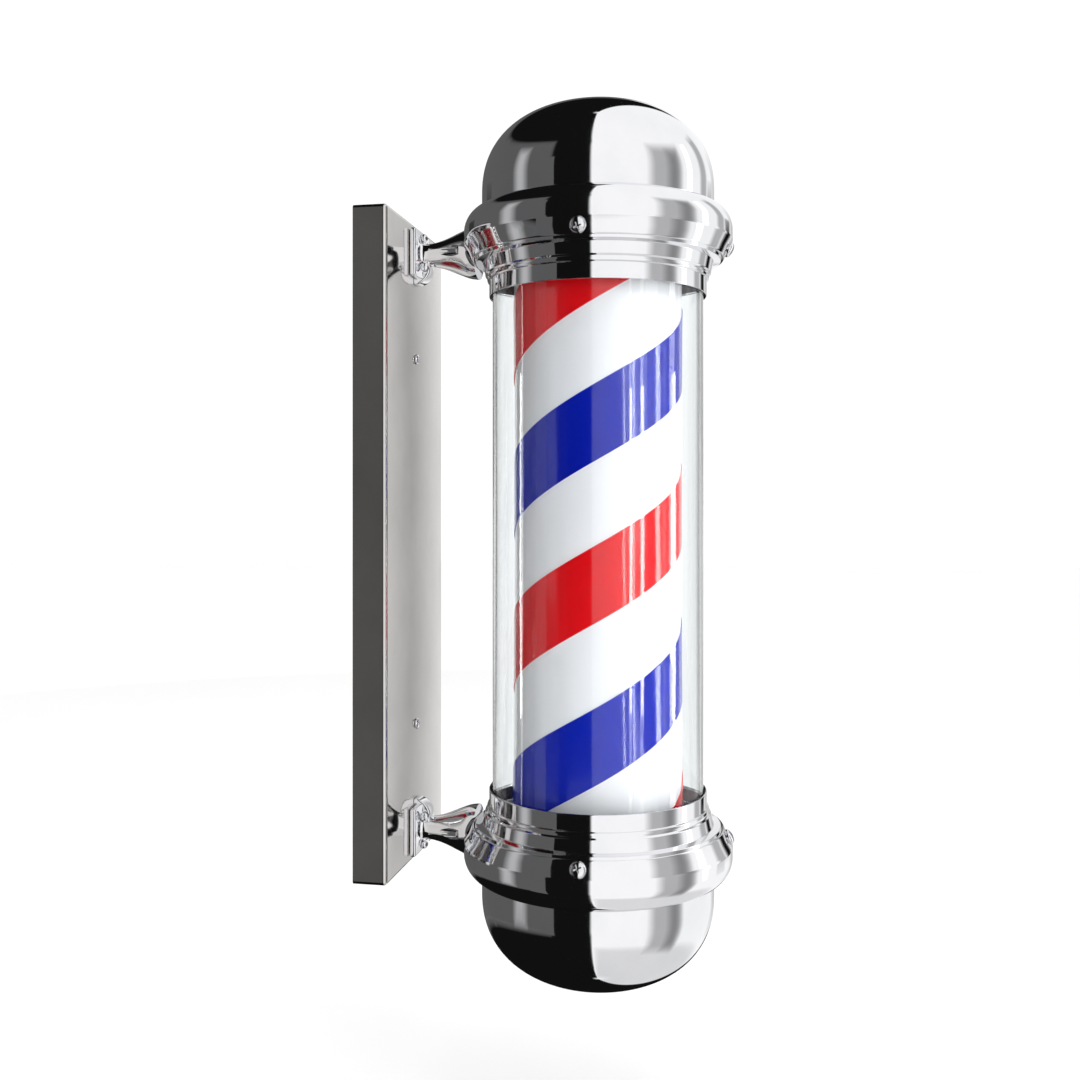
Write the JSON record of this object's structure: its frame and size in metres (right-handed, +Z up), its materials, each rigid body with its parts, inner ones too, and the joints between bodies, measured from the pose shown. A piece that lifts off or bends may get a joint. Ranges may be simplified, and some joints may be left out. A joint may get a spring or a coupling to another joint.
{
  "type": "barber pole light",
  "caption": "Wall-mounted barber pole light: chrome domes and arms hold a clear tube in which a striped, lit drum turns.",
  "frame": {"origin": "middle of the wall plate's back face, which lies on the wall", "axes": "+Z up along the pole, +Y into the wall, -Y out towards the pole, X along the wall"},
  "size_m": [0.2162, 0.2861, 0.695],
  "materials": {
    "chrome": "mirror-polished chrome plating",
    "stainless": "polished stainless sheet with a fine vertical grain",
    "zinc_steel": "dull zinc-plated steel",
    "screw_steel": "bright turned steel",
    "motor_steel": "satin grey motor case",
    "brass": "turned brass",
    "clear_acrylic": "clear polished acrylic",
    "white_drum": "glossy opal white plastic",
    "red_vinyl": "glossy red vinyl",
    "blue_vinyl": "glossy deep blue vinyl",
    "black_rubber": "matt black rubber",
    "white_nylon": "moulded natural nylon",
    "ceramic": "glazed white lamp holder",
    "lamp_diffuser": "frosted warm white lamp diffuser"
  },
  "bodies": {
    "stand": {"upper_arm": "chrome", "lower_arm": "chrome", "upper_collar": "chrome", "lower_collar": "chrome", "upper_shoulder": "chrome", "lower_shoulder": "chrome", "upper_dome": "chrome", "lower_dome": "chrome", "wall_cover": "stainless", "wall_plate": "zinc_steel", "upper_cover_post": "zinc_steel", "lower_cover_post": "zinc_steel", "upper_arm_backing": "zinc_steel", "lower_arm_backing": "zinc_steel", "upper_arm_bolt_near": "zinc_steel", "upper_arm_bolt_far": "zinc_steel", "lower_arm_bolt_near": "zinc_steel", "lower_arm_bolt_far": "zinc_steel", "upper_chassis_plate": "zinc_steel", "lower_chassis_plate": "zinc_steel", "gearbox_case": "zinc_steel", "upper_cover_screw": "screw_steel", "lower_cover_screw": "screw_steel", "upper_foot_screw": "screw_steel", "lower_foot_screw": "screw_steel", "upper_lug_screw": "screw_steel", "lower_lug_screw": "screw_steel", "motor_screw_near": "screw_steel", "motor_screw_far": "screw_steel", "upper_saddle_screw_near": "screw_steel", "upper_saddle_screw_far": "screw_steel", "upper_flange_screw_near": "screw_steel", "upper_flange_screw_far": "screw_steel", "upper_flange_screw_front": "screw_steel", "lower_saddle_screw_near": "screw_steel", "lower_saddle_screw_far": "screw_steel", "lower_flange_screw_near": "screw_steel", "lower_flange_screw_far": "screw_steel", "lower_flange_screw_front": "screw_steel", "motor_can": "motor_steel", "lamp_base": "brass", "clear_tube": "clear_acrylic", "upper_tube_gasket": "black_rubber", "lower_tube_gasket": "black_rubber", "inlet_grommet": "black_rubber", "guide_ring": "white_nylon", "terminal_block": "white_nylon", "lamp_holder": "ceramic", "lamp_diffuser": "lamp_diffuser"},
    "drum": {"drum_tube": "white_drum", "red_stripe": "red_vinyl", "blue_stripe": "blue_vinyl", "upper_drum_cap": "white_nylon", "lower_drum_cap": "white_nylon", "drive_hub": "brass", "hub_set_screw": "screw_steel", "drive_shaft": "screw_steel"}
  },
  "joints": [
    {"name": "drum_spin", "type": "hinge", "parent": "stand", "child": "drum", "pos_m": [0, -0.178, 0], "axis": [0, 0, 1], "continuous": true}
  ]
}
